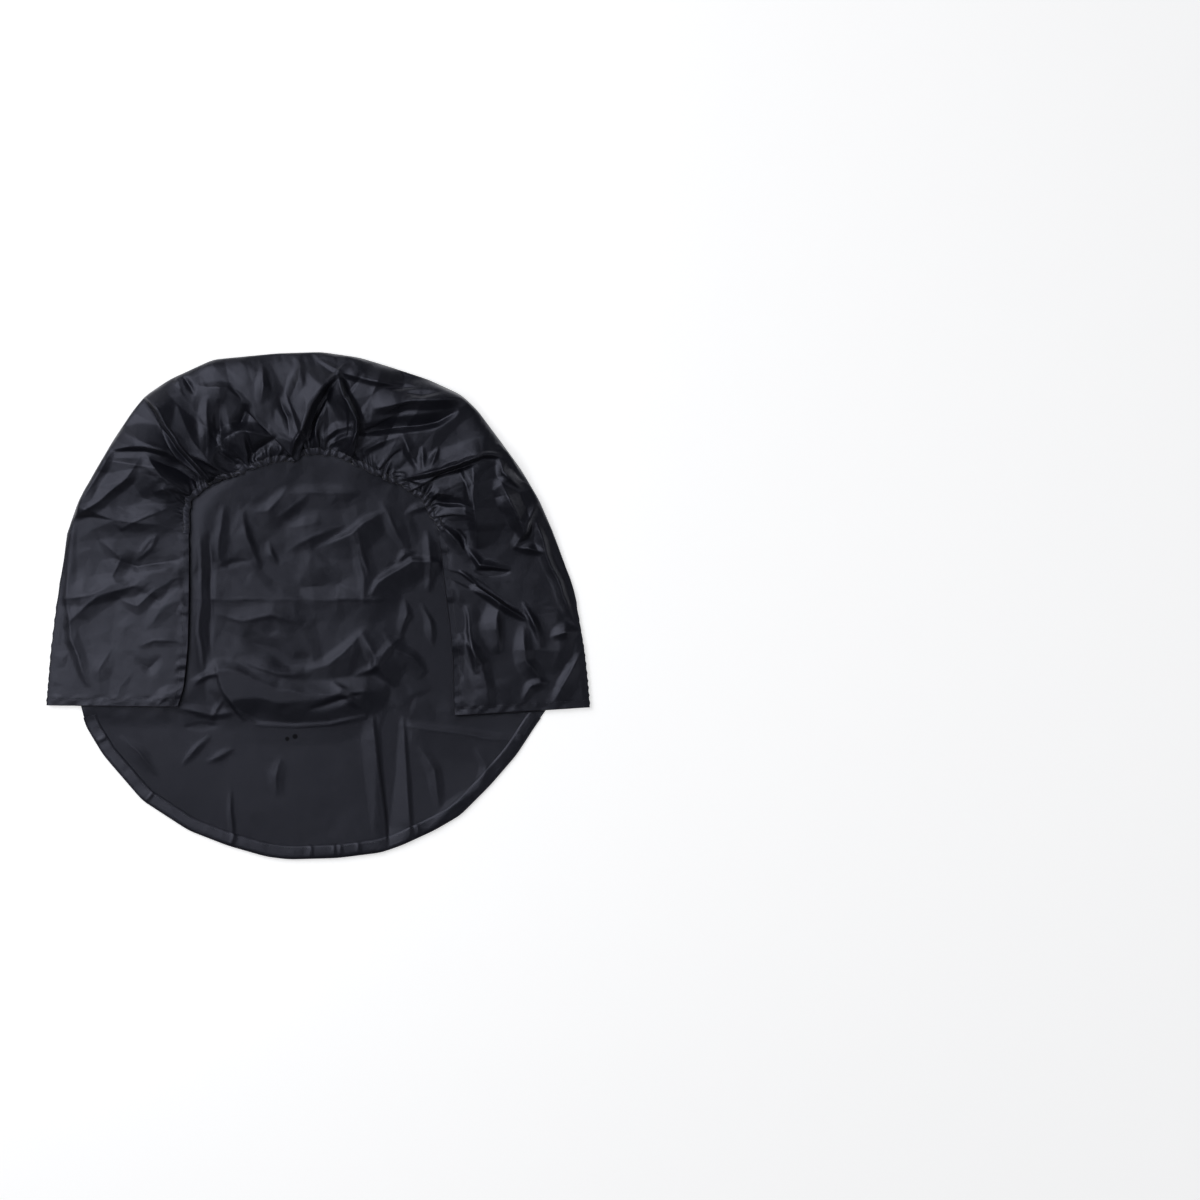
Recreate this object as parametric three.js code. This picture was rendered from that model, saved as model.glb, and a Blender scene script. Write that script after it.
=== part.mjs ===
// Spare tyre cover for a motorhome or caravan: a round face panel, an elasticated tread band round
// the upper part of its rim, and a free hemmed apron below. The cover lies face down with the band
// folded in over the face. Millimetres, +Z up, +Y towards the crown of the cover.
// The origin is the middle of the footprint, on the surface the face panel lies on.
import * as THREE from 'three';

// ---- Driving dimensions ----
const CLOTH = 1.2; // thickness of one cloth layer
const HEM = 1.0; // thickness of a turned hem or seam allowance
const THREAD = 0.6; // height of a line of stitching
const THREAD_WIDTH = 1.2;
const LAYER_GAP = 0.4; // clearance between layers that lie on each other
const END_GAP = 1.5; // clearance between the crown and a flap, along the fold

const FACE = {
  centreX: -1.5,
  centreY: 8,
  halfWidth: 371,
  lowerSpread: 11, // how much wider the free lower half lies
  crownHeight: 359.8, // centre to the top of the rim
  apronDepth: 378, // centre to the bottom of the rim
  crownShift: -13, // the crown lies a little to the left
};

const APRON_FOLD_Y = -168; // the cross fold that the apron lifts about
const APRON_FOLD_CLEARANCE = 1.0; // each side of the fold

// Outer folds of the band at its two ends: bottom point, then top point.
const LEFT_FOLD = { bottom: [-394, -145], top: [-372, 75], innerBottom: [-204, -147], innerTopX: -188 };
const RIGHT_FOLD = { bottom: [394, -148], top: [362, 68], innerBottom: [200, -160], innerTopX: 180 };

const FOLD_HEIGHT = 8.2; // height of the hinge line of each fold
const FLAP_EDGE_HEIGHT = 9.2; // where a flap starts, just above its fold
const FLAP_HEIGHT = 13; // where most of a flap lies
const FLAP_RISE = 22; // distance over which it rises from the fold
const WALL_TOP = FOLD_HEIGHT - LAYER_GAP - CLOTH / 2;

const ARCH = { centreX: -6, centreY: 96, halfWidth: 183, height: 122 }; // line of the elastic
const EDGE_HEIGHT = 11.8; // height of the elastic line
const CASING_OUTER = 4.4;
const CASING_INNER = 3.1;
const CASING_RUFFLE = 0.5; // depth of the fine gathers on the casing
const CASING_RUFFLES = 26;
const ELASTIC_WIDTH = 3.6;
const ELASTIC_THICKNESS = 1.4;
const PLEATS = 13; // gathers of the crown at the elastic
const PLEAT_DEPTH = 2.2;

const HEM_WIDTH = { lower: 18, side: 10, bottom: 12, seam: 10 };

// ---- Small helpers ----
const lerp = (a, b, t) => a + (b - a) * t;
const mix = (a, b, t) => [lerp(a[0], b[0], t), lerp(a[1], b[1], t)];
const smooth = (low, high, x) => THREE.MathUtils.smoothstep(x, low, high);

/** Unit vector from a to b in the plane. */
function towards(a, b) {
  const length = Math.hypot(b[0] - a[0], b[1] - a[1]);
  return [(b[0] - a[0]) / length, (b[1] - a[1]) / length];
}

/**
 * A closed solid of even thickness round the surface point(u, v), with u and v from 0 to 1.
 * point returns [x, y, z].
 */
function clothSolid(point, uSteps, vSteps, thickness) {
  const rows = vSteps + 1;
  const count = (uSteps + 1) * rows;
  const at = (i, j) => i * rows + j;
  const middle = [];
  for (let i = 0; i <= uSteps; i++) {
    for (let j = 0; j <= vSteps; j++) {
      middle.push(new THREE.Vector3(...point(i / uSteps, j / vSteps)));
    }
  }
  const positions = [];
  for (const side of [1, -1]) {
    for (let i = 0; i <= uSteps; i++) {
      for (let j = 0; j <= vSteps; j++) {
        const along = new THREE.Vector3().subVectors(
          middle[at(Math.min(i + 1, uSteps), j)],
          middle[at(Math.max(i - 1, 0), j)],
        );
        const across = new THREE.Vector3().subVectors(
          middle[at(i, Math.min(j + 1, vSteps))],
          middle[at(i, Math.max(j - 1, 0))],
        );
        const normal = along.cross(across).normalize();
        const p = middle[at(i, j)].clone().addScaledVector(normal, (side * thickness) / 2);
        positions.push(p.x, p.y, p.z);
      }
    }
  }
  const faces = [];
  const quad = (a, b, c, d) => faces.push(a, b, c, a, c, d);
  for (let i = 0; i < uSteps; i++) {
    for (let j = 0; j < vSteps; j++) {
      const [a, b, c, d] = [at(i, j), at(i + 1, j), at(i + 1, j + 1), at(i, j + 1)];
      quad(a, b, c, d);
      quad(a + count, d + count, c + count, b + count);
    }
    const [first, next] = [at(i, 0), at(i + 1, 0)];
    quad(first, first + count, next + count, next);
    const [last, after] = [at(i, vSteps), at(i + 1, vSteps)];
    quad(last, after, after + count, last + count);
  }
  for (let j = 0; j < vSteps; j++) {
    const [low, high] = [at(0, j), at(0, j + 1)];
    quad(low, high, high + count, low + count);
    const [lowEnd, highEnd] = [at(uSteps, j), at(uSteps, j + 1)];
    quad(lowEnd, lowEnd + count, highEnd + count, highEnd);
  }
  return indexedGeometry(positions, faces);
}

/** A closed geometry from flat lists of coordinates and corner indices. */
function indexedGeometry(positions, faces) {
  const geometry = new THREE.BufferGeometry();
  geometry.setAttribute('position', new THREE.Float32BufferAttribute(positions, 3));
  geometry.setIndex(faces);
  geometry.computeVertexNormals();
  return geometry;
}

/** A low line of stitching along line(u), which returns [x, y, z] at its middle. */
function stitching(line, steps) {
  const step = 0.5 / steps;
  const point = (u, v) => {
    const [x0, y0] = line(Math.max(u - step, 0));
    const [x1, y1] = line(Math.min(u + step, 1));
    const [dx, dy] = towards([x0, y0], [x1, y1]);
    const [x, y, z] = line(u);
    const offset = (v - 0.5) * THREAD_WIDTH;
    return [x - dy * offset, y + dx * offset, z];
  };
  return clothSolid(point, steps, 1, THREAD);
}

// ---- Lines of the cover ----

/** The rim of the face at an angle in radians, moved inward by inset. */
function rim(angle, inset = 0) {
  const s = Math.sin(angle);
  const halfWidth = FACE.halfWidth + FACE.lowerSpread * smooth(0, 0.6, -s) - inset;
  const halfHeight = (s > 0 ? FACE.crownHeight : FACE.apronDepth) - inset;
  const y = FACE.centreY + halfHeight * s;
  const x = FACE.centreX + FACE.crownShift * smooth(0, 200, y) + halfWidth * Math.cos(angle);
  return [x, y];
}

/** The angle of the rim at a height y, on the right, or on the left with left = true. */
function rimAngle(y, left = false) {
  const rise = y - FACE.centreY;
  const angle = Math.asin(rise / (rise > 0 ? FACE.crownHeight : FACE.apronDepth));
  return left ? Math.PI - angle : angle;
}

/** The line of the elastic, from its left end at u = 0 over the crown to its right end at u = 1. */
function elasticLine(u) {
  const angle = Math.PI * (1 - u);
  return [ARCH.centreX + ARCH.halfWidth * Math.cos(angle), ARCH.centreY + ARCH.height * Math.sin(angle)];
}

/** Completes a fold with its direction and the place where the flap's inner edge meets the crown. */
function withDirections(fold) {
  const up = towards(fold.bottom, fold.top);
  const reach = fold.innerTopX - fold.top[0];
  const inwardSlope = -up[0] / up[1];
  return { ...fold, up, innerTop: [fold.innerTopX, fold.top[1] + reach * inwardSlope] };
}

const leftFold = withDirections(LEFT_FOLD);
const rightFold = withDirections(RIGHT_FOLD);

/** Inner edge of the crown: a short straight hem each side, with the elastic line between. */
function crownInnerEdge(t) {
  const straight = 0.06;
  if (t < straight) return mix(leftFold.innerTop, elasticLine(0), t / straight);
  if (t > 1 - straight) return mix(elasticLine(1), rightFold.innerTop, (t - 1 + straight) / straight);
  return elasticLine((t - straight) / (1 - 2 * straight));
}

/** The crown's surface: t runs from left to right, v from the rim seam over the fold to the elastic. */
function crownPoint(t, v) {
  const angle = lerp(rimAngle(leftFold.top[1], true), rimAngle(rightFold.top[1]), t);
  const outer = rim(angle);
  const inner = crownInnerEdge(t);
  const inward = towards(outer, inner);
  const fullness = Math.sqrt(Math.sin(Math.PI * t));
  const place = (from, distance, z) =>
    new THREE.Vector3(from[0] + inward[0] * distance, from[1] + inward[1] * distance, z);
  const section = new THREE.CubicBezierCurve3(
    place(outer, -LAYER_GAP - CLOTH, CLOTH / 2 + LAYER_GAP),
    place(outer, -4 - 4 * fullness, 8 + 14 * fullness),
    place(outer, 38, 15 + 34 * fullness),
    place(inner, -CASING_OUTER - CASING_RUFFLE - 3 * LAYER_GAP, EDGE_HEIGHT),
  );
  const p = section.getPoint(v);
  const pleat = Math.cos(2 * Math.PI * PLEATS * t) * PLEAT_DEPTH * v * smooth(0, 0.12, t * (1 - t));
  return [p.x, p.y, p.z + Math.max(pleat, -PLEAT_DEPTH) + PLEAT_DEPTH * v * v];
}

/** A flap's surface: u runs up the fold, v from the fold inward to the free edge. */
function flapPoint(fold, u, v) {
  const shorten = (p) => [p[0] - fold.up[0] * END_GAP, p[1] - fold.up[1] * END_GAP];
  const low = mix(fold.bottom, fold.innerBottom, v);
  const high = mix(shorten(fold.top), shorten(fold.innerTop), v);
  const width = Math.abs(fold.innerBottom[0] - fold.bottom[0]);
  const rise = smooth(0, FLAP_RISE, v * width);
  const [x, y] = mix(low, high, u);
  return [x, y, lerp(FLAP_EDGE_HEIGHT, FLAP_HEIGHT, rise)];
}

// ---- Sub-parts ----

/** The face between two rim angles, closed by a straight edge parallel to X. */
function facePlate(fromAngle, toAngle) {
  const steps = 64;
  const points = [];
  for (let i = 0; i <= steps; i++) {
    points.push(new THREE.Vector2(...rim(lerp(fromAngle, toAngle, i / steps))));
  }
  return new THREE.ExtrudeGeometry(new THREE.Shape(points), { depth: CLOTH, bevelEnabled: false });
}

function facePanel() {
  const edge = APRON_FOLD_Y + APRON_FOLD_CLEARANCE;
  return facePlate(rimAngle(edge), rimAngle(edge, true));
}

function apronPanel() {
  const edge = APRON_FOLD_Y - APRON_FOLD_CLEARANCE;
  return facePlate(rimAngle(edge, true), 2 * Math.PI + rimAngle(edge));
}

/** The band's outer layer at one end, from the rim seam out and up to the fold. */
function bandWall(fold, left) {
  const point = (u, v) => {
    const y = lerp(fold.bottom[1], fold.top[1] - END_GAP, u);
    const seam = rim(rimAngle(y, left), -LAYER_GAP - CLOTH);
    const edge = mix(fold.bottom, fold.top, (y - fold.bottom[1]) / (fold.top[1] - fold.bottom[1]));
    const [x] = left ? mix(edge, seam, v) : mix(seam, edge, v);
    const lift = left ? 1 - v : v;
    return [x, y, lerp(CLOTH / 2 + 0.1, WALL_TOP, lift)];
  };
  return clothSolid((u, v) => point(1 - u, v), 16, 2, CLOTH);
}

/** A strip that lies on the face along the rim, from inset to inset + width. */
function rimStrip(fromAngle, toAngle, inset, width, steps) {
  const z = CLOTH + LAYER_GAP + HEM / 2;
  const point = (u, v) => [...rim(lerp(fromAngle, toAngle, u), inset + width * v), z];
  return clothSolid(point, steps, 1, HEM);
}

/** The stitching on top of such a strip. */
function rimStitching(fromAngle, toAngle, inset, steps) {
  const z = CLOTH + 2 * LAYER_GAP + HEM + THREAD / 2;
  return stitching((u) => [...rim(lerp(fromAngle, toAngle, u), inset), z], steps);
}

/** A ring-shaped channel along the elastic line, open at both ends. */
function elasticCasing() {
  const steps = CASING_RUFFLES * 3;
  const sides = 6;
  const positions = [];
  const faces = [];
  for (let i = 0; i <= steps; i++) {
    const u = i / steps;
    const [x, y] = elasticLine(u);
    const outward = towards([ARCH.centreX, ARCH.centreY - ARCH.height * 0.1], [x, y]);
    const ruffle = (CASING_RUFFLE * (1 + Math.cos((2 * Math.PI * i) / 3))) / 2;
    for (const radius of [CASING_OUTER + ruffle, CASING_INNER]) {
      for (let k = 0; k < sides; k++) {
        const a = (2 * Math.PI * k) / sides;
        const out = radius * Math.cos(a);
        positions.push(x + outward[0] * out, y + outward[1] * out, EDGE_HEIGHT + radius * Math.sin(a));
      }
    }
  }
  const quad = (a, b, c, d) => faces.push(a, b, c, a, c, d);
  const at = (i, layer, k) => (i * 2 + layer) * sides + (k % sides);
  for (let k = 0; k < sides; k++) {
    for (let i = 0; i < steps; i++) {
      quad(at(i, 0, k), at(i, 0, k + 1), at(i + 1, 0, k + 1), at(i + 1, 0, k));
      quad(at(i, 1, k), at(i + 1, 1, k), at(i + 1, 1, k + 1), at(i, 1, k + 1));
    }
    quad(at(0, 0, k), at(0, 1, k), at(0, 1, k + 1), at(0, 0, k + 1));
    quad(at(steps, 0, k), at(steps, 0, k + 1), at(steps, 1, k + 1), at(steps, 1, k));
  }
  return indexedGeometry(positions, faces);
}

/** The flat elastic that runs through the casing. */
function elasticBand() {
  const centre = [ARCH.centreX, ARCH.centreY];
  const point = (u, v) => {
    const [x, y] = elasticLine(lerp(0.004, 0.996, u));
    const out = towards(centre, [x, y]);
    const offset = (v - 0.5) * ELASTIC_WIDTH;
    return [x + out[0] * offset, y + out[1] * offset, EDGE_HEIGHT];
  };
  return clothSolid((u, v) => point(1 - u, v), 48, 1, ELASTIC_THICKNESS);
}

/** The dense stitching that anchors the elastic at one end of its casing. */
function elasticTack(u) {
  const size = { width: 8, length: 5, height: 3 };
  const [x, y] = elasticLine(u);
  const tack = new THREE.BoxGeometry(size.width, size.length, size.height);
  tack.translate(x, y - size.length / 2 - LAYER_GAP, EDGE_HEIGHT);
  return tack;
}

function crownBand() {
  return clothSolid((u, v) => crownPoint(1 - u, v), PLEATS * 6, 7, CLOTH);
}

function casingStitching() {
  const rise = (CLOTH + THREAD) / 2 + 2 * LAYER_GAP;
  const line = (u) => {
    const [x, y, z] = crownPoint(lerp(0.07, 0.93, u), 0.95);
    return [x, y, z + rise];
  };
  return stitching(line, PLEATS * 6);
}

/** A surface whose top faces up on either side of the cover. */
function facingUp(point, left) {
  return left ? (u, v) => point(1 - u, v) : point;
}

function flapPanel(fold, left) {
  return clothSolid(facingUp((u, v) => flapPoint(fold, u, v), left), 10, 8, CLOTH);
}

/** The hem turned under a flap's free side edge, or its bottom edge. */
function flapSideHem(fold, left) {
  const share = HEM_WIDTH.side / Math.abs(fold.innerBottom[0] - fold.bottom[0]);
  const point = (u, v) => {
    const [x, y, z] = flapPoint(fold, lerp(0.005, 0.995, u), lerp(1 - share, 0.998, v));
    return [x, y, z - CLOTH / 2 - LAYER_GAP - HEM / 2];
  };
  return clothSolid(facingUp(point, left), 10, 1, HEM);
}

function flapBottomHem(fold, left) {
  const width = Math.abs(fold.innerBottom[0] - fold.bottom[0]);
  const height = fold.top[1] - fold.bottom[1];
  const start = (FLAP_RISE + 3) / width;
  const end = 1 - (HEM_WIDTH.side + 1) / width;
  const point = (u, v) => {
    const [x, y, z] = flapPoint(fold, lerp(0.003, HEM_WIDTH.bottom / height, u), lerp(start, end, v));
    return [x, y, z - CLOTH / 2 - LAYER_GAP - HEM / 2];
  };
  return clothSolid(facingUp(point, left), 1, 10, HEM);
}

/** The stitching of those hems, seen on top of the flap. */
function flapStitching(fold, from, to) {
  const rise = (CLOTH + THREAD) / 2 + LAYER_GAP;
  const line = (t) => {
    const [x, y, z] = flapPoint(fold, lerp(from[0], to[0], t), lerp(from[1], to[1], t));
    return [x, y, z + rise];
  };
  return stitching(line, 12);
}

// ---- Materials ----
const taffeta = new THREE.MeshStandardMaterial({ color: 0x1d1e26, roughness: 0.45, metalness: 0 });
const hemCloth = new THREE.MeshStandardMaterial({ color: 0x22232c, roughness: 0.5, metalness: 0 });
const thread = new THREE.MeshStandardMaterial({ color: 0x14151a, roughness: 0.7, metalness: 0 });
const elastic = new THREE.MeshStandardMaterial({ color: 0x101014, roughness: 0.8, metalness: 0 });

// ---- Assembly ----
const cover = new THREE.Group();

function add(name, geometry, material) {
  const mesh = new THREE.Mesh(geometry, material);
  mesh.name = name;
  cover.add(mesh);
}

add('face_panel', facePanel(), taffeta);
add('face_panel_lower', apronPanel(), taffeta);
add('crown_band', crownBand(), taffeta);

const seamFrom = rimAngle(rightFold.bottom[1] + 4);
const seamTo = rimAngle(leftFold.bottom[1] + 4, true);
add('rim_seam_allowance', rimStrip(seamFrom, seamTo, 2, HEM_WIDTH.seam, 60), hemCloth);
add('rim_seam_thread', rimStitching(seamFrom, seamTo, 2 + HEM_WIDTH.seam * 0.8, 60), thread);

const hemEdge = APRON_FOLD_Y - 3 * APRON_FOLD_CLEARANCE - HEM_WIDTH.lower / 2;
const hemFrom = rimAngle(hemEdge, true);
const hemTo = 2 * Math.PI + rimAngle(hemEdge);
add('lower_rim_hem', rimStrip(hemFrom, hemTo, 1, HEM_WIDTH.lower, 48), hemCloth);
add('lower_hem_thread', rimStitching(hemFrom, hemTo, 1 + HEM_WIDTH.lower * 0.85, 48), thread);

add('elastic_casing', elasticCasing(), hemCloth);
add('elastic_band', elasticBand(), elastic);
add('casing_thread', casingStitching(), thread);
add('left_elastic_tack', elasticTack(0), thread);
add('right_elastic_tack', elasticTack(1), thread);

for (const [side, fold] of [['left', leftFold], ['right', rightFold]]) {
  const left = side === 'left';
  const sideLine = 0.965; // how far across the flap the side hem's stitching lies
  const bottomLine = 0.045; // how far up the flap the bottom hem's stitching lies
  add(`${side}_band_wall`, bandWall(fold, left), taffeta);
  add(`${side}_flap_panel`, flapPanel(fold, left), taffeta);
  add(`${side}_flap_side_hem`, flapSideHem(fold, left), hemCloth);
  add(`${side}_flap_bottom_hem`, flapBottomHem(fold, left), hemCloth);
  add(`${side}_side_hem_thread`, flapStitching(fold, [0.06, sideLine], [0.99, sideLine]), thread);
  add(`${side}_bottom_hem_thread`, flapStitching(fold, [bottomLine, 0.05], [bottomLine, 0.955]), thread);
}

export default cover;
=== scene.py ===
"""Looks of the spare tire cover: its cloth, hems, casing, elastic and stitching, in metres.

The cover lies face down. The band is folded in over the face, its crown gathered on an elastic,
and its two ends lie as flaps. The cloth pieces are grids that a small solver settles, so that they
hold more cloth than the space they lie in, and crease.
"""
import math

import bpy
import numpy as np
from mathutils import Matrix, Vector
from mathutils.bvhtree import BVHTree
from mathutils.geometry import delaunay_2d_cdt


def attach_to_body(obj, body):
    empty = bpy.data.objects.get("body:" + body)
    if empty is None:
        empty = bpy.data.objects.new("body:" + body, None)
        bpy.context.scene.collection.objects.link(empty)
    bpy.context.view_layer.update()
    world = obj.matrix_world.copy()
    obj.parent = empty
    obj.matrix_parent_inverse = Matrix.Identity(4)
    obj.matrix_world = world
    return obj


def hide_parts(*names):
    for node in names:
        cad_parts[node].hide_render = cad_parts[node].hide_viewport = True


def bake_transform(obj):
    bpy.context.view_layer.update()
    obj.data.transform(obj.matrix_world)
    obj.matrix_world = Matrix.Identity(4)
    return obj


MM = 0.001
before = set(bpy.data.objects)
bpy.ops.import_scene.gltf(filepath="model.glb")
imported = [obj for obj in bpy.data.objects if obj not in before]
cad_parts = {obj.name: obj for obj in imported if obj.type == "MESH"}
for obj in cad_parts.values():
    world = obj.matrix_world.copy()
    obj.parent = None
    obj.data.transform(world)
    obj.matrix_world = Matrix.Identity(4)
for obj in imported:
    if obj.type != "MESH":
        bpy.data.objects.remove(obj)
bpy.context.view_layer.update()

# ---- Outlines of the lying cover, in millimetres ----
# The band's outer fold, from the bottom of the left flap round the crown to the right flap.
OUTER_LEFT = [(-394, -145), (-389, -65), (-381, 5), (-371, 68), (-366, 105)]
OUTER_CROWN = [
    (-366, 105), (-349, 154), (-324, 198), (-298, 242), (-270, 284), (-252, 306), (-216, 330),
    (-153, 359), (-60, 368), (5, 370), (60, 362), (100, 350), (161, 330), (209, 308), (233, 285),
    (265, 242), (297, 198), (323, 154), (342, 110),
]
OUTER_RIGHT = [(342, 110), (358, 66), (374, 23), (381, -20), (388, -65), (392, -109), (394, -148)]
# Where the band is sewn to the face; round the crown this is just inside the outer fold.
SEAM_LEFT = [(-346, -147), (-358, -110), (-367, -60), (-372, 0), (-367, 68), (-361, 105)]
SEAM_RIGHT = [(337, 110), (353, 66), (366, 20), (368, -20), (363, -70), (353, -110), (335, -150)]
SEAM_INSET = 5
# The band's rear edge: the straight sides of the flaps and the elastic arch between them.
EDGE_LEFT = [(-205, -147), (-196, -118), (-190, -60), (-188.5, 20), (-188.5, 105)]
EDGE_ARCH = [
    (-188.5, 105), (-188.5, 148), (-175, 164), (-156, 179), (-129, 189), (-96, 199.5), (-64, 207),
    (-35, 215.6), (-10, 220), (12, 220), (38, 214), (72, 197), (114, 179), (155, 154), (165, 132),
    (177, 110),
]
EDGE_RIGHT = [(177, 110), (181, 78), (187, 24), (194, -30), (199, -84), (200, -160)]
# The free lower rim of the face, from the left seam's end round the bottom to the right one's.
LOWER_RIM = [
    (-346, -147), (-339, -175), (-313, -218), (-275, -262), (-256, -284), (-222, -306), (-188, -328),
    (-131, -350), (-75, -366), (-42, -370), (28, -368), (92, -360), (121, -350), (169, -328),
    (207, -306), (251, -262), (289, -218), (317, -175), (335, -150),
]


# ---- Lines ----
def soft_line(points, count, rounding):
    """count points evenly along a polyline, its corners rounded over about rounding mm."""
    corners = np.array(points, float) * MM
    fine = 2000
    line = spaced(corners, fine)
    step = np.linalg.norm(np.diff(corners, axis=0), axis=1).sum() / fine
    half = int(3 * rounding * MM / step) + 1
    x = np.arange(-half, half + 1) * step / (rounding * MM)
    kernel = np.exp(-x * x / 2)
    kernel /= kernel.sum()
    before = 2 * line[0] - line[half:0:-1]
    after = 2 * line[-1] - line[-2:-half - 2:-1]
    padded = np.concatenate([before, line, after])
    line = np.stack([np.convolve(padded[:, k], kernel, "valid") for k in (0, 1)], axis=1)
    return spaced(line, count)


def spaced(line, count):
    """count points evenly along a line of any number of coordinates."""
    along = np.concatenate([[0], np.cumsum(np.linalg.norm(np.diff(line, axis=0), axis=1))])
    at = np.linspace(0, along[-1], count)
    return np.stack([np.interp(at, along, line[:, k]) for k in range(line.shape[1])], axis=1)


def curve_through(points, count):
    """count points evenly along a smooth curve through the given ones."""
    p = np.concatenate([[2 * points[0] - points[1]], points, [2 * points[-1] - points[-2]]])
    q = np.linspace(0, 1, 24, endpoint=False)[:, None]
    parts = []
    for a, b, c, d in zip(p, p[1:], p[2:], p[3:]):
        parts.append(0.5 * (2 * b + (c - a) * q + (2 * a - 5 * b + 4 * c - d) * q**2
                            + (3 * b - 3 * c + d - a) * q**3))
    return spaced(np.concatenate([*parts, points[-1:]]), count)


def smooth(low, high, x):
    """0 below low, 1 above high and a smooth step between them."""
    q = np.clip((x - low) / (high - low), 0, 1)
    return q * q * (3 - 2 * q)


# ---- Drawn folds ----
WANDER = 0.8 * MM  # how far a fold strays from its drawn line, except on the apron
LIP_WIDTH = 3 * MM
FOLD_TAPER = 36 * MM  # over how much of each end a fold grows to its full size


def fold_height(x, y, folds, lip=0):
    """Height of folds at x, y. A fold is (height, left width, right width, points), in mm.

    Each is a crease along its points that falls away over its width on each side, narrowing to
    nothing at its two ends. A negative height is a valley. lip is the height in mm of a narrow
    raised line along each crease."""
    total = np.zeros_like(x)
    stray = WANDER * smooth(-170, -120, y / MM)
    x, y = (x + stray * np.sin(y / 0.0101 + 2 * np.sin(x / 0.023)),
            y + stray * np.sin(x / 0.0113 + 2 * np.sin(y / 0.029)))
    for height, left, right, points in folds:
        p = np.array(points, float) * MM
        lengths = np.linalg.norm(np.diff(p, axis=0), axis=1)
        ends = np.concatenate([[0], np.cumsum(lengths)])
        best = np.full(x.shape, 1e9)
        along = np.zeros_like(x)
        side = np.zeros_like(x)
        for k, length in enumerate(lengths):
            d = (p[k + 1] - p[k]) / length
            u = np.clip((x - p[k, 0]) * d[0] + (y - p[k, 1]) * d[1], 0, length)
            dx = x - p[k, 0] - u * d[0]
            dy = y - p[k, 1] - u * d[1]
            distance = np.hypot(dx, dy)
            near = distance < best
            best = np.where(near, distance, best)
            along = np.where(near, (ends[k] + u) / ends[-1], along)
            side = np.where(near, d[0] * dy - d[1] * dx, side)
        from_end = np.minimum(along, 1 - along) * ends[-1]
        grown = np.clip(from_end / min(FOLD_TAPER, 0.5 * ends[-1]), 0, 1)
        width = np.where(side > 0, left, right) * MM * (0.35 + 0.65 * np.sqrt(grown))
        total += height * MM * np.clip(1 - best / width, 0, 1) ** 1.1 * grown ** 0.8
        if lip:
            total += math.copysign(lip, height) * MM * np.clip(1 - best / LIP_WIDTH, 0, 1) * grown
    return total


def crumples(seed, count, low, high, height):
    """Small creases strewn between two corners, in mm, for fold_height."""
    rng = np.random.default_rng(seed)
    folds = []
    for _ in range(count):
        x, y = rng.uniform(low[0], high[0]), rng.uniform(low[1], high[1])
        angle, length = rng.uniform(0, math.pi), rng.uniform(34, 120)
        bend = angle + rng.uniform(-0.5, 0.5)
        middle = (x + length / 2 * math.cos(angle), y + length / 2 * math.sin(angle))
        end = (middle[0] + length / 2 * math.cos(bend), middle[1] + length / 2 * math.sin(bend))
        rise = height * rng.uniform(0.35, 1) * rng.choice([1, 1, -1])
        folds.append((rise, rng.uniform(7, 30), rng.uniform(7, 40), [(x, y), middle, end]))
    return folds


def eased(heights, passes):
    """A grid of heights with its finest ripples smoothed away."""
    for _ in range(passes):
        p = np.pad(heights, 1, mode="edge")
        rows = p[:-2] + 2 * p[1:-1] + p[2:]
        heights = (rows[:, :-2] + 2 * rows[:, 1:-1] + rows[:, 2:]) / 16
    return heights


def grain(shape, cells, seed):
    """Smooth noise over a grid, about -1 to 1, with the given number of cells each way."""
    rng = np.random.default_rng(seed)
    values = rng.uniform(-1, 1, (cells[0] + 3, cells[1] + 3))
    x = np.linspace(0, cells[0], shape[0])
    y = np.linspace(0, cells[1], shape[1])
    i, j = np.minimum(x.astype(int), cells[0] - 1), np.minimum(y.astype(int), cells[1] - 1)
    wx, wy = smooth(0, 1, x - i)[:, None], smooth(0, 1, y - j)[None, :]
    a, b = values[np.ix_(i, j)], values[np.ix_(i + 1, j)]
    c, d = values[np.ix_(i, j + 1)], values[np.ix_(i + 1, j + 1)]
    return (a * (1 - wx) + b * wx) * (1 - wy) + (c * (1 - wx) + d * wx) * wy


def facets(x, y, seed, spacing, height):
    """Height at x, y of the flat facets that crumpled cloth has, spacing and height in mm."""
    rng = np.random.default_rng(seed)
    step = spacing * MM
    count = (int(np.ptp(x) / step) + 4, int(np.ptp(y) / step) + 4)
    points = np.stack(np.meshgrid(np.arange(count[0]), np.arange(count[1])), -1)
    points = points.reshape(-1, 2) * step
    points += rng.uniform(-0.9, -0.1, points.shape) * step + (x.min(), y.min())
    heights = rng.uniform(-1, 1, len(points))
    made = delaunay_2d_cdt([Vector(p) for p in points], [], [], 0, 1e-9)
    flat, _, triangles, origin = made[:4]
    corners = [(*p, heights[o[0]]) for p, o in zip(flat, origin)]
    tree = BVHTree.FromPolygons(corners, triangles)
    found = [tree.ray_cast((*p, 1), (0, 0, -1))[0].z for p in zip(x.flat, y.flat)]
    return np.array(found).reshape(x.shape) * height * MM


# ---- Cloth solver ----
def pull(a, b, rest, give, only_apart=False):
    """Moves two sets of points to their rest distance, give times the way. only_apart leaves those
    that are too far from each other, which makes the cloth's bending."""
    d = b - a
    length = np.sqrt((d * d).sum(-1)) + 1e-9
    over = length - rest
    if only_apart:
        over = np.minimum(over, 0)
    d *= (give * 0.5 * over / length)[..., None]
    a += d
    b -= d


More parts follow.
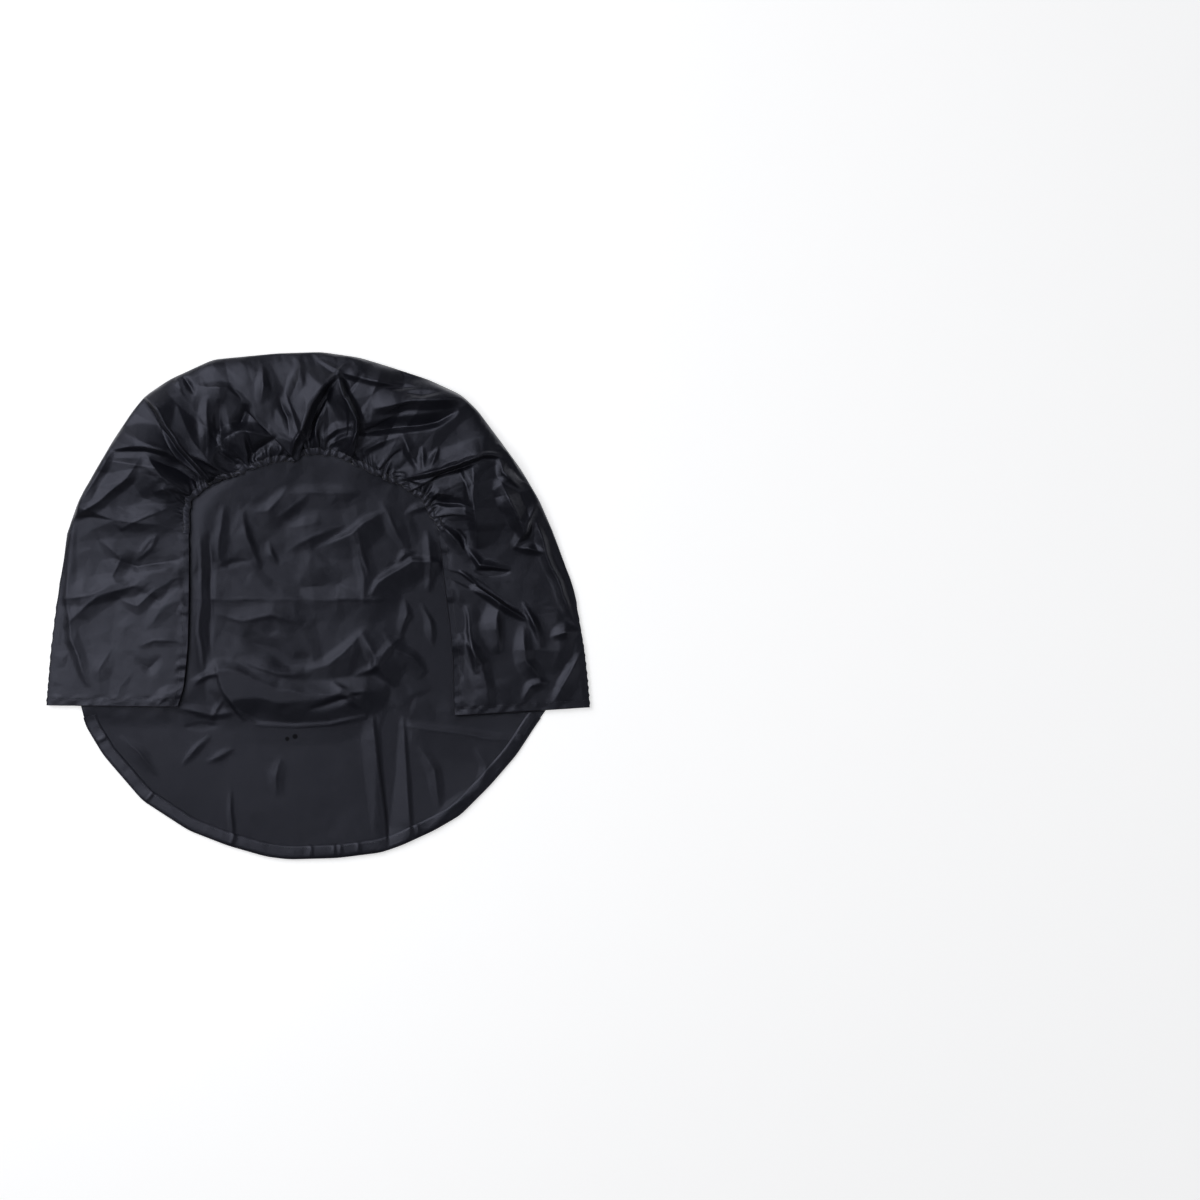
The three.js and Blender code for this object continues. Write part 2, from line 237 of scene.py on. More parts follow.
def settle(cloth, along, across, slants, rounds, limit, bend=0.1, weight=0.004, swing=0.9):
    """Settles a grid of cloth. along, across and slants are the rest lengths between neighbours
    both ways and over both diagonals, limit(cloth) puts back what is held, bend is how much it
    resists folding, weight how far a round lets it fall, in mm, and swing how much of its speed
    it keeps."""
    bend_along = along[1:] + along[:-1]
    bend_across = across[:, 1:] + across[:, :-1]
    before = cloth.copy()
    for _ in range(rounds):
        step = (cloth - before) * swing
        before[:] = cloth
        cloth += step
        cloth[..., 2] -= weight * MM
        for s in range(4):
            pull(cloth[s:-2:4], cloth[s + 2::4], bend_along[s::4], bend, only_apart=True)
            pull(cloth[:, s:-2:4], cloth[:, s + 2::4], bend_across[:, s::4], bend, only_apart=True)
        for s in (0, 1):
            pull(cloth[s:-1:2, :-1], cloth[s + 1::2, 1:], slants[0][s::2], 0.35)
            pull(cloth[s:-1:2, 1:], cloth[s + 1::2, :-1], slants[1][s::2], 0.35)
        for s in (0, 1):
            pull(cloth[s:-1:2], cloth[s + 1::2], along[s::2], 1)
            pull(cloth[:, s:-1:2], cloth[:, s + 1::2], across[:, s::2], 1)
        limit(cloth)
    return cloth


def diagonals(grid):
    """Lengths over both diagonals of a grid's cells."""
    return np.array([np.linalg.norm(grid[1:, 1:] - grid[:-1, :-1], axis=2),
                     np.linalg.norm(grid[1:, :-1] - grid[:-1, 1:], axis=2)])


def finer(grid):
    """The same grid with a point put between each two neighbours."""
    for axis in (0, 1):
        g = np.moveaxis(grid, axis, 0)
        out = np.empty((2 * len(g) - 1, *g.shape[1:]))
        out[::2] = g
        out[1::2] = (g[1:] + g[:-1]) / 2
        grid = np.moveaxis(out, 0, axis)
    return np.ascontiguousarray(grid)


# ---- The band ----
# Its folds as (height, width on the left, width on the right, points), in millimetres.
CROWN_FOLDS = [
    # left side of the crown
    (15, 46, 6, [(-256, 314), (-233, 284), (-218, 259), (-201, 233), (-184, 213), (-168, 194),
                 (-148, 168)]),
    (3, 3, 3, [(-240, 293), (-218, 259), (-201, 233), (-184, 213), (-158, 183)]),
    (6, 13, 15, [(-161, 306), (-160, 260), (-158, 214)]),
    (-6, 13, 10, [(-144, 300), (-141, 250), (-142, 208)]),
    (5, 10, 30, [(-178, 322), (-160, 318), (-130, 316), (-112, 300)]),
    (-4, 7, 7, [(-197, 336), (-188, 322), (-179, 308)]),
    (9, 36, 7, [(-300, 228), (-276, 231), (-251, 230), (-218, 223), (-194, 209)]),
    (9, 34, 40, [(-258, 228), (-240, 205), (-227, 187), (-209, 174), (-176, 156)]),
    (-8, 12, 18, [(-246, 214), (-205, 200), (-168, 174)]),
    (6, 12, 22, [(-298, 228), (-318, 195), (-335, 168), (-356, 132)]),
    (5, 12, 26, [(-256, 220), (-276, 187), (-317, 153), (-362, 124)]),
    (4, 24, 40, [(-290, 110), (-246, 132), (-203, 146)]),
    (3, 10, 14, [(-240, 164), (-226, 168), (-212, 160)]),
    # middle of the crown
    (15, 8, 46, [(34, 342), (6, 315), (-7, 297), (-14, 276), (-25, 252), (-33, 237), (-42, 206)]),
    (3, 3, 4, [(16, 322), (-7, 297), (-14, 276), (-25, 252), (-33, 237), (-40, 208)]),
    (13, 12, 26, [(28, 342), (40, 304), (51, 282), (58, 268), (58, 252), (49, 233), (44, 204)]),
    (2.4, 3, 3, [(34, 320), (51, 282), (58, 268), (58, 252), (49, 233), (45, 208)]),
    (-9, 9, 14, [(22, 318), (6, 292), (-6, 262), (-16, 236)]),
    (8, 8, 15, [(14, 304), (6, 284), (-3, 258), (-2, 230)]),
    (6, 12, 8, [(6, 240), (28, 256), (54, 262)]),
    (5, 7, 8, [(10, 230), (34, 242), (56, 250)]),
    (-10, 10, 15, [(-102, 294), (-112, 268), (-128, 248)]),
    (10, 15, 44, [(-158, 210), (-140, 240), (-118, 254), (-92, 252), (-60, 246)]),
    (-8, 9, 9, [(-104, 208), (-88, 228), (-58, 248)]),
    (-7, 5, 8, [(-104, 254), (-98, 230), (-92, 206)]),
    (-5, 5, 6, [(-144, 226), (-116, 204)]),
    (6, 30, 8, [(0, 358), (40, 339), (79, 327), (126, 322)]),
    (5, 12, 16, [(-22, 356), (-28, 330), (-42, 296)]),
    (4, 10, 12, [(-80, 348), (-78, 320), (-84, 292)]),
    (-4, 8, 9, [(-58, 306), (-44, 276), (-40, 244)]),
    # right side of the crown
    (11, 32, 14, [(80, 286), (130, 297), (189, 301), (226, 302)]),
    (-10, 16, 9, [(55, 250), (91, 256), (150, 263), (176, 268), (206, 284)]),
    (-3, 6, 4, [(90, 319), (146, 317)]),
    (-4, 7, 6, [(124, 310), (150, 306), (182, 312)]),
    (11, 30, 6, [(122, 184), (152, 191), (183, 197), (214, 209), (242, 218), (270, 217)]),
    (2.4, 4, 3, [(126, 185), (152, 191), (183, 197), (214, 209), (242, 218)]),
    (-5, 5, 7, [(130, 180), (160, 186), (196, 196), (240, 213)]),
    (6, 12, 9, [(122, 252), (134, 226), (148, 198)]),
    (4, 6, 8, [(152, 232), (155, 200)]),
    (4, 6, 8, [(176, 230), (164, 200)]),
    (5, 14, 8, [(66, 226), (90, 236), (118, 246)]),
    (8, 10, 24, [(206, 200), (216, 176), (224, 146)]),
    (6, 10, 6, [(156, 156), (176, 164), (198, 160)]),
    (-8, 9, 6, [(156, 143), (173, 151), (205, 148), (228, 142)]),
    (9, 44, 14, [(226, 216), (228, 150), (234, 84)]),
    (5, 8, 15, [(168, 130), (190, 108), (206, 90), (224, 68)]),
    (-6, 6, 6, [(204, 110), (212, 96), (216, 80)]),
]
FLAP_FOLDS = [
    # left flap
    (3.5, 26, 16, [(-375, 8), (-310, 20), (-259, 31), (-243, 38), (-186, 42)]),
    (-3, 22, 10, [(-306, 72), (-262, 56), (-228, 62), (-196, 70)]),
    (3, 8, 12, [(-233, 104), (-248, 84), (-262, 66)]),
    (-2.5, 5, 5, [(-238, 98), (-258, 72)]),
    (3, 14, 22, [(-372, -34), (-340, 0), (-306, 24), (-270, 40)]),
    (2.5, 12, 14, [(-290, 10), (-262, 0), (-236, 24), (-208, 48)]),
    (-2, 10, 10, [(-262, 22), (-230, 4), (-214, 22)]),
    (2.5, 16, 16, [(-250, -34), (-224, -2), (-200, 10), (-188, -30)]),
    (2.2, 20, 10, [(-262, -60), (-238, -50), (-192, -54)]),
    (-2, 14, 12, [(-268, -78), (-246, -92), (-228, -74)]),
    (2.4, 14, 10, [(-361, 130), (-366, 80), (-367, 10), (-360, -50), (-334, -120)]),
    (2.5, 18, 26, [(-318, 96), (-286, 70), (-300, 44), (-288, 20)]),
    (1.8, 20, 30, [(-300, -60), (-320, -96), (-318, -134)]),
    (4, 14, 18, [(-238, -150), (-222, -132), (-196, -118)]),
    # right flap
    (5, 14, 12, [(266, 216), (271, 193), (298, 170)]),
    (6, 16, 20, [(264, 186), (287, 142), (308, 98)]),
    (4, 9, 13, [(320, 150), (304, 111), (286, 82)]),
    (4, 8, 12, [(318, 130), (326, 104), (334, 74), (356, 26), (374, -26)]),
    (3, 10, 10, [(286, 86), (306, 84), (330, 76)]),
    (4, 10, 7, [(218, 88), (236, 58), (280, 54)]),
    (-4, 7, 6, [(228, 50), (250, 46), (280, 50)]),
    (5, 7, 10, [(206, 52), (224, 36), (246, 18), (276, -4), (306, -22)]),
    (-4, 5, 4, [(222, 44), (252, 18), (290, -10)]),
    (-4.5, 7, 9, [(172, 52), (206, 42), (236, 28), (264, 10)]),
    (4, 10, 26, [(266, 12), (262, -20), (264, -70)]),
    (3, 26, 8, [(216, 2), (222, -40), (232, -100)]),
    (3.5, 8, 8, [(300, 6), (314, -22), (328, -60)]),
    (3, 14, 18, [(300, -30), (304, -80), (330, -118)]),
    (3, 16, 12, [(340, -46), (362, -40), (386, -36)]),
    (3, 24, 12, [(388, -60), (368, -100), (344, -142)]),
    (2.4, 12, 20, [(206, -40), (240, -86), (252, -150)]),
    (2.2, 10, 12, [(300, -140), (312, -118), (340, -110)]),
]
BAND_FOLDS = (CROWN_FOLDS + FLAP_FOLDS + crumples(11, 26, (-390, -60), (-180, 160), 1.5)
              + crumples(12, 40, (180, -150), (390, 200), 2.4)
              + crumples(13, 40, (-260, 200), (260, 350), 2.4))
LEFT_COLUMNS, CROWN_COLUMNS, RIGHT_COLUMNS = 80, 312, 84  # grid steps along the band
ROWS = 64  # grid steps from the seam to the rear edge
COLUMNS = LEFT_COLUMNS + CROWN_COLUMNS + RIGHT_COLUMNS
CROWN = slice(LEFT_COLUMNS, LEFT_COLUMNS + CROWN_COLUMNS + 1)
FINE_CROWN = slice(2 * LEFT_COLUMNS, 2 * (LEFT_COLUMNS + CROWN_COLUMNS) + 1)  # in the finished grid
LEVELS = 2  # how often the grid's steps are doubled for its first, coarse settling


def joined(left, middle, right, rounding):
    """One line from the left flap round the crown to the right flap, a point for each column."""
    return np.concatenate([
        soft_line(left, LEFT_COLUMNS + 1, rounding)[:-1],
        soft_line(middle, CROWN_COLUMNS + 1, rounding)[:-1],
        soft_line(right, RIGHT_COLUMNS + 1, rounding),
    ])


outer = joined(OUTER_LEFT, OUTER_CROWN, OUTER_RIGHT, 7)
rear = joined(EDGE_LEFT, EDGE_ARCH, EDGE_RIGHT, 6)
# The gathered edge waves in and out a little.
ruffle = 2.4 * MM * grain((CROWN_COLUMNS + 1, 2), (58, 1), 19)[:, :1]
crown_depth = np.linalg.norm(outer - rear, axis=1)[CROWN, None]
rear[CROWN] += (outer[CROWN] - rear[CROWN]) / crown_depth * ruffle
heading = np.gradient(outer, axis=0)
heading /= np.linalg.norm(heading, axis=1)[:, None]
seam = outer + SEAM_INSET * MM * np.stack([heading[:, 1], -heading[:, 0]], axis=1)
seam[:LEFT_COLUMNS + 1] = soft_line(SEAM_LEFT, LEFT_COLUMNS + 1, 8)
seam[-RIGHT_COLUMNS - 1:] = soft_line(SEAM_RIGHT, RIGHT_COLUMNS + 1, 8)
column = np.arange(COLUMNS + 1)
crownness = smooth(LEFT_COLUMNS * 0.72, LEFT_COLUMNS * 1.4, column) * (
    1 - smooth(COLUMNS - RIGHT_COLUMNS * 1.4, COLUMNS - RIGHT_COLUMNS * 0.72, column))


def band_section(k):
    """The band's way from the seam out and up to its fold and in to its rear edge, at a column."""
    c = crownness[k]
    o, inward = outer[k], rear[k] - outer[k]
    return np.array([
        (*seam[k], 1.2 * MM),
        (*o, (4.4 + 5 * c) * MM),
        (*(o + inward * (0.03 + 0.03 * c)), (7.6 + 12 * c) * MM),
        (*(o + inward * 0.3), (8.6 + 17 * c) * MM),
        (*(o + inward * 0.68), (8.6 + 12 * c) * MM),
        (*rear[k], (8.6 + 2.4 * c) * MM),
    ])


def band_limits(top, near_edge, crown):
    """How low and how high each point of the band may lie."""
    low = np.where(top > 0.5, 7.4 + 1.4 * crown, 0.9) * MM
    return low, (15.2 + 22 * crown * smooth(0, 30, near_edge) + 2 * crown) * MM


def settle_band():
    """The band's cloth, settled coarsely and then ever finer between its seam and rear edge."""
    lying = np.stack([curve_through(band_section(k), ROWS + 1) for k in range(COLUMNS + 1)])
    v = np.linspace(0, 1, ROWS + 1)
    depth = np.linalg.norm(np.diff(lying, axis=1), axis=2).sum(1)
    wall = np.linalg.norm(outer - seam, axis=1) + 5 * MM
    top = smooth(0, 0.06, v[None, :] - (wall / depth)[:, None])
    pattern = np.linalg.norm(np.diff(outer, axis=0), axis=1)[:, None]
    threads = np.linalg.norm(np.diff(lying, axis=0), axis=2)
    fullness = (0.34 + 0.22 * grain((COLUMNS, 2), (16, 1), 9)[:, :1]) * crownness[1:, None]
    full = threads * 1.012 + np.maximum(pattern - threads, 0) * fullness
    across = np.linalg.norm(np.diff(lying, axis=1), axis=2) * (1.012 + 0.03 * crownness)[:, None]
    held = np.zeros(lying.shape[:2])
    held[(1 - top) * (1 - crownness[:, None]) > 0.5] = 0.5
    held[:, :2] = 1
    near_edge = (1 - v)[None, :] * depth[:, None] / MM
    cloth = None
    for level in range(LEVELS, -1, -1):
        s = 2 ** level
        start = lying[::s, ::s]
        if cloth is None:
            cloth = start.copy()
            cloth[..., 2] += top[::s, ::s] * grain(cloth.shape[:2], (34, 5), 3) * 2.5 * MM
        else:
            cloth = finer(cloth)
        gathered = smooth(0.3, 1, 1 - near_edge / (18 + 22 * level)) * crownness[:, None]
        most = threads * (1.02 if level else 1.9)
        along = full * (1 - gathered[1:]) + np.minimum(full, most) * gathered[1:]
        along = along.reshape(COLUMNS // s, s, ROWS + 1).sum(1)[:, ::s]
        rest_across = across.reshape(COLUMNS + 1, ROWS // s, s).sum(2)[::s]
        c = crownness[::s, None]
        x, y = start[..., 0], start[..., 1]
        drawn = 0.5 * fold_height(x, y, BAND_FOLDS) * top[::s, ::s]
        drawn *= smooth(0.0, 1.0, near_edge[::s, ::s] / 14 + 1 - c)
        tilt = smooth(-390, -190, x / MM) * (x < 0) * 7 * MM
        drawn += tilt * (1 - c) * top[::s, ::s]
        aim = start[..., 2] + drawn
        if level == 0:
            period = 8 + 3.2 * grain((COLUMNS + 1, 2), (60, 1), 5)[:, 0]
            waves = np.sin(2 * math.pi * np.cumsum(1 / period))
            cloth[..., 2] += waves[:, None] * gathered * 2.8 * MM
        low, high = band_limits(top[::s, ::s], near_edge[::s, ::s], c)
        grip = held[::s, ::s, None]
        lead = 0.1 * top[::s, ::s] * (1 - 0.85 * gathered[::s, ::s])
        sides = np.zeros(cloth.shape[:2])
        sides[0], sides[-1] = 0.2, 0.2
        sides[:, -1] = 0.25
        fold = (np.abs(v[None, ::s] - (wall / depth)[::s, None]) < 0.035) * 0.25
        sides = np.maximum(sides, fold)[..., None]
        arch = slice(CROWN.start // s, (CROWN.stop - 1) // s + 1)

        def limit(p):
            p += (start - p) * grip
            p[..., :2] += (start[..., :2] - p[..., :2]) * sides
            p[arch, -1, :2] = start[arch, -1, :2]
            p[..., 2] += (aim - p[..., 2]) * lead
            np.clip(p[..., 2], low, high, out=p[..., 2])

        square = np.hypot((along[:, 1:] + along[:, :-1]) / 2,
                          (rest_across[1:] + rest_across[:-1]) / 2)
        slants = diagonals(start)
        slants *= 1.012 + (square / slants.mean(axis=0) - 1.012) * c[1:]
        rounds = (240, 350, 700)[level]
        settle(cloth, along, rest_across, slants, rounds, limit, bend=(0.6, 0.4, 0.25)[level])
        lead = lead * 0.25
        settle(cloth, along, rest_across, slants, rounds // 4, limit, bend=0.5, weight=0.002)
        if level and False:
            for _ in range(level):
                cloth = finer(cloth)
            break
    plain = smooth(12, 30, near_edge + 30 * (1 - crownness[:, None]))
    cloth[..., 2] += (eased(cloth[..., 2], 4) - cloth[..., 2]) * plain
    top, near_edge = (finer(a[..., None])[..., 0] for a in (top, near_edge))
    return creased_band(finer(cloth), top, near_edge)


def creased_band(cloth, top, near_edge):
    """The settled band with its folds pressed in sharply and its small facets."""
    x, y = cloth[..., 0], cloth[..., 1]
    crown = finer(crownness[:, None, None])[..., 0]
    low, high = band_limits(top, near_edge, crown)
    folds = fold_height(x, y, CROWN_FOLDS, lip=0.9) * 0.75
    folds += fold_height(x, y, FLAP_FOLDS, lip=0.7) * (0.75 + 0.7 * (x > 0))
    steps = np.hypot(np.diff(x[:, 0], prepend=x[0, 0]), np.diff(y[:, 0], prepend=y[0, 0]))
    along = np.broadcast_to(np.cumsum(steps)[:, None], x.shape)
    radial = facets(along, near_edge * 0.45 * MM, 51, 26, 3.6) * crown
    flat = facets(x, y * 0.7, 52, 40, 1.7 + 3.4 * (x > 0)) * (1 - crown) + facets(x, y, 53, 15, 0.8)
    patches = 0.55 + 0.45 * grain(x.shape, (14, 5), 54)
    creases = (folds + radial + flat * patches) * smooth(2, 16, near_edge + 16 * (1 - crown))
    from_end = np.minimum(along, along[-1] - along) / MM
    creases += 1.1 * MM * grain(x.shape, (170, 3), 55) * smooth(16, 7, near_edge) * (1 - crown)
    creases += 0.9 * MM * grain(x.shape, (220, 26), 56) * smooth(17, 9, from_end)
    cloth[..., 2] = np.clip(cloth[..., 2] + creases * top, low, high + 2 * MM)
    return cloth


# ---- The face ----
FACE_FOLDS = [
    # inside, as it shows in the open back
    (3.0, 60, 34, [(-190, 9), (-142, 9), (-60, 9), (64, 9), (120, 10)]),
    (4.2, 9, 34, [(2, 86), (48, 104), (64, 118), (98, 138)]),
    (3.4, 34, 14, [(-46, 80), (-4, 101), (40, 119)]),
    (2.4, 14, 24, [(-46, 114), (-20, 118), (4, 120)]),
    (5.0, 9, 30, [(76, 12), (89, 34), (109, 46), (138, 66), (184, 62)]),
    (3.2, 8, 7, [(112, 58), (126, 74), (146, 80)]),
    (2.4, 22, 9, [(48, 114), (58, 80), (66, 40), (68, 2)]),
    (2.0, 5, 5, [(56, 112), (64, 80), (74, 44)]),
    (3.0, 34, 12, [(92, 156), (108, 120), (130, 78)]),
    (3.6, 8, 24, [(-110, 142), (-104, 100), (-96, 80), (-82, 54)]),
    (2.6, 6, 9, [(-72, 94), (-68, 78), (-60, 58)]),
    (3.0, 14, 9, [(-136, 146), (-145, 100), (-146, 70), (-134, 52)]),
    (-2.6, 8, 8, [(-148, 54), (-124, 62), (-98, 64)]),
    (-3.4, 26, 22, [(-90, 62), (-60, 42), (-26, 26), (30, 31), (60, 20)]),
    (3.0, 12, 26, [(-46, 166), (-10, 165), (30, 165), (60, 163)]),
    (3.6, 12, 30, [(-106, 148), (-88, 138), (-72, 138), (-60, 151), (-42, 176)]),
    (3.2, 28, 13, [(-58, 128), (-36, 146), (-12, 162)]),
    (2.8, 9, 9, [(126, 134), (146, 141), (166, 146)]),
    (3.4, 20, 24, [(-150, -12), (-110, -22), (-66, -14), (-20, -26)]),
    (-3.2, 20, 18, [(-112, -44), (-70, -66), (-40, -86), (-10, -76)]),
    (3.0, 16, 16, [(-120, -78), (-84, -92), (-50, -100), (-10, -100)]),
    (8.5, 24, 44, [(-160, -88), (-122, -106), (-92, -120), (-58, -130), (-22, -134), (20, -132),
                   (70, -124), (104, -128)]),
    (1.6, 3, 30, [(-140, -108), (-121, -152), (-92, -173), (-32, -176), (16, -173), (76, -160)]),
    (4.0, 46, 4, [(-152, -80), (-134, -128), (-108, -170)]),
    (4.2, 12, 40, [(-18, -96), (14, -86), (40, -66), (68, -36)]),
    (4.4, 28, 12, [(62, -34), (74, -58), (86, -84), (112, -120)]),
    (3.6, 14, 30, [(96, -40), (112, -64), (136, -76), (160, -100)]),
    (3.6, 10, 8, [(50, -104), (80, -92), (104, -60), (124, -44)]),
    (3.4, 9, 12, [(126, 10), (130, -16), (120, -44)]),
    (3.4, 10, 14, [(150, 8), (164, -24), (170, -70)]),
    (-3.2, 7, 9, [(-14, -152), (20, -142), (66, -128)]),
    (3.4, 7, 10, [(20, -112), (38, -124), (60, -150)]),
    (4.0, 7, 6, [(-200, -122), (-160, -102), (-134, -97)]),
    (1.8, 5, 3, [(-174, 120), (-170, 40), (-174, -40), (-166, -96)]),
    (-2.4, 6, 9, [(-158, 110), (-156, 20), (-158, -70)]),
    (3.4, 12, 10, [(158, 112), (166, 60), (160, 20)]),
    # the apron
    (3.0, 3, 22, [(80, -158), (88, -230), (97, -300), (102, -352)]),
    (-4.0, 30, 20, [(112, -146), (106, -200), (103, -290), (102, -360)]),
    (2.4, 5, 26, [(124, -160), (130, -250), (136, -350)]),
    (2.2, 10, 40, [(112, -172), (152, -180), (206, -186), (246, -194), (304, -199)]),
    (2.6, 10, 9, [(-212, -148), (-180, -154), (-152, -160), (-120, -156)]),
    (-2.4, 6, 8, [(-196, -178), (-168, -176), (-146, -176)]),
    (2.2, 6, 6, [(-156, -168), (-148, -150), (-138, -134)]),
    (2.2, 6, 9, [(-200, -234), (-178, -208), (-158, -190)]),
    (1.8, 8, 9, [(-164, -230), (-144, -220), (-122, -208)]),
    (1.8, 5, 6, [(-128, -268), (-128, -300), (-122, -352)]),
    (1.6, 16, 14, [(-54, -220), (-62, -250), (-60, -280)]),
    (2.0, 12, 16, [(-290, -190), (-262, -214), (-236, -248)]),
    (2.0, 12, 12, [(146, -204), (170, -240), (178, -300)]),
    (2.2, 12, 10, [(230, -206), (246, -236), (232, -270)]),
    (2.0, 10, 14, [(160, -330), (196, -292), (240, -262)]),
]
FACE_CRUMPLES = (crumples(41, 120, (-340, -150), (340, 340), 1.7)
                 + crumples(42, 26, (-300, -350), (300, -170), 0.9))
FACE_CELLS = 200  # grid steps across the face
FACE_FINE = 300  # grid steps across the finished face
FACE_SPARE = 0.011  # how much more cloth the face holds than the circle it lies in
FACE_EDGE = 1.3 * MM  # how high its sewn edge lies
FACE_LOWEST = 1.1 * MM

lower_rim = soft_line(LOWER_RIM, 400, 7)
rim = np.concatenate([seam, lower_rim[::-1][1:-1]])


def on_disc(u, v):
    """Where the point (u, v) of a square from -1 to 1 lies on the face."""
    x, y = u * np.sqrt(1 - v * v / 2), v * np.sqrt(1 - u * u / 2)
    around = np.arctan2(rim[:, 1], rim[:, 0])
    order = np.argsort(around)
    reach = np.interp(np.arctan2(y, x), around[order], np.hypot(rim[:, 0], rim[:, 1])[order],
                      period=2 * math.pi)
    return np.stack([x * reach, y * reach, np.full_like(x, FACE_EDGE)], axis=-1)


def finest(grid, count):
    """A grid's rows read at count + 1 even steps."""
    at = np.linspace(0, len(grid) - 1, count + 1)
    low = np.minimum(at.astype(int), len(grid) - 2)
    part = (at - low)[:, None, None]
    return grid[low] * (1 - part) + grid[low + 1] * part


def settle_face():
    """The face's cloth, settled in the same way inside its rim."""
    ticks = np.linspace(-1, 1, FACE_CELLS + 1)
    lying = on_disc(*np.meshgrid(ticks, ticks, indexing="ij"))
    spare = 1 + FACE_SPARE * (1 + 0.7 * grain(lying.shape[:2], (7, 7), 21))
    border = np.zeros(lying.shape[:2], bool)
    border[[0, -1]] = border[:, [0, -1]] = True
    sewn = border & (lying[..., 1] > -146 * MM)
    x, y = lying[..., 0], lying[..., 1]
    under_flaps = smooth(150, 190, np.abs(x) / MM) * smooth(-170, -140, y / MM)
    under_crown = smooth(200, 240, np.hypot(x, y * 0.95) / MM) * smooth(60, 120, y / MM)
    high = (9.5 - 4.5 * np.maximum(under_flaps, under_crown)) * MM
    cloth = None
    for level in range(LEVELS, -1, -1):
        s = 2 ** level
        start = lying[::s, ::s]
        if cloth is None:
            cloth = start.copy()
            cloth[..., 2] += (grain(cloth.shape[:2], (22, 22), 31) + 1) * 1.6 * MM
        else:
            cloth = finer(cloth)
        along = np.linalg.norm(np.diff(start, axis=0), axis=2) * spare[::s, ::s][1:]
        across = np.linalg.norm(np.diff(start, axis=1), axis=2) * spare[::s, ::s][:, 1:]
        x, y = start[..., 0], start[..., 1]
        drawn = 0.25 * fold_height(x, y, FACE_FOLDS + FACE_CRUMPLES)
        # It falls to the right, and rises on the apron, towards the left flap and in a swell.
        fall = (x - np.abs(y)) / MM * smooth(-180, -120, y / MM)
        lift = np.clip(-180 - y / MM, 0, 190)
        raised = np.hypot(x / MM, np.maximum(y / MM - 20, 0))
        raised = np.clip((raised - 158) / 32, 0, 1.3) * (1 - smooth(40, 120, x / MM))
        raised *= smooth(-150, -100, y / MM)
        swell = np.exp(-((x / MM - 70) / 52) ** 2) * smooth(-130, -80, y / MM)
        aim = (1.8 - 0.007 * fall + 0.022 * lift + 2.8 * raised + 2.2 * swell) * MM + drawn
        edge = np.where(border, 0.35, 0)[::s, ::s, None]
        sewn_here = sewn[::s, ::s]
        highest = high[::s, ::s]
        lead = 0.05

        def limit(p):
            p[..., :2] += (start[..., :2] - p[..., :2]) * np.maximum(edge, 0.01)
            p[sewn_here] = start[sewn_here]
            p[..., 2] += (aim - p[..., 2]) * lead
            np.clip(p[..., 2], FACE_LOWEST, highest, out=p[..., 2])

        slants = diagonals(start) * spare[::s, ::s][1:, 1:]
        rounds = (120, 220, 500)[level]
        settle(cloth, along, across, slants, rounds, limit, bend=(0.2, 0.12, 0.08)[level])
        lead = 0.014
        settle(cloth, along, across, slants, rounds // 4, limit, bend=0.2, weight=0.002)
        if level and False:
            for _ in range(level):
                cloth = finer(cloth)
            break
    cloth[..., 2] = eased(cloth[..., 2], 4)
    parts = np.concatenate([cloth, high[..., None], sewn[..., None]], axis=2)
    for axis in (0, 1):
        parts = np.moveaxis(finest(parts, FACE_FINE), 0, 1)
    cloth = np.ascontiguousarray(parts[..., :3])
    x, y = cloth[..., 0], cloth[..., 1]
    inner = smooth(-180, -150, y / MM)
    creases = fold_height(x, y, FACE_FOLDS, lip=0.8) * 0.72
    creases += facets(x, y * 0.8, 61, 44, 1.5) * (0.15 + 0.85 * inner) + (
        facets(x, y, 62, 15, 0.4) * inner)
    cloth[..., 2] = np.clip(cloth[..., 2] + creases, FACE_LOWEST, parts[..., 3])
    cloth[parts[..., 4] > 0.99, 2] = FACE_EDGE
    return cloth


# ---- Materials ----
def fill(tree, node, values):
    """Puts values into a node's inputs, by name or number. A socket among them is linked."""
    for name, value in values.items():
        if isinstance(value, bpy.types.NodeSocket):
            tree.links.new(value, node.inputs[name])
        else:
            node.inputs[name].default_value = value


def add_node(tree, kind, values, **settings):
    """A new node with its inputs filled; settings are properties of the node itself."""
    node = tree.nodes.new("ShaderNode" + kind)
    for name, value in settings.items():
        setattr(node, name, value)
    fill(tree, node, values)
    return node


def bump(tree, height, depth, normal):
    """A bump on top of the one before it, if there is one."""
    under = {} if normal is None else {"Normal": normal}
    return add_node(tree, "Bump", {"Distance": depth, "Height": height, **under}).outputs["Normal"]


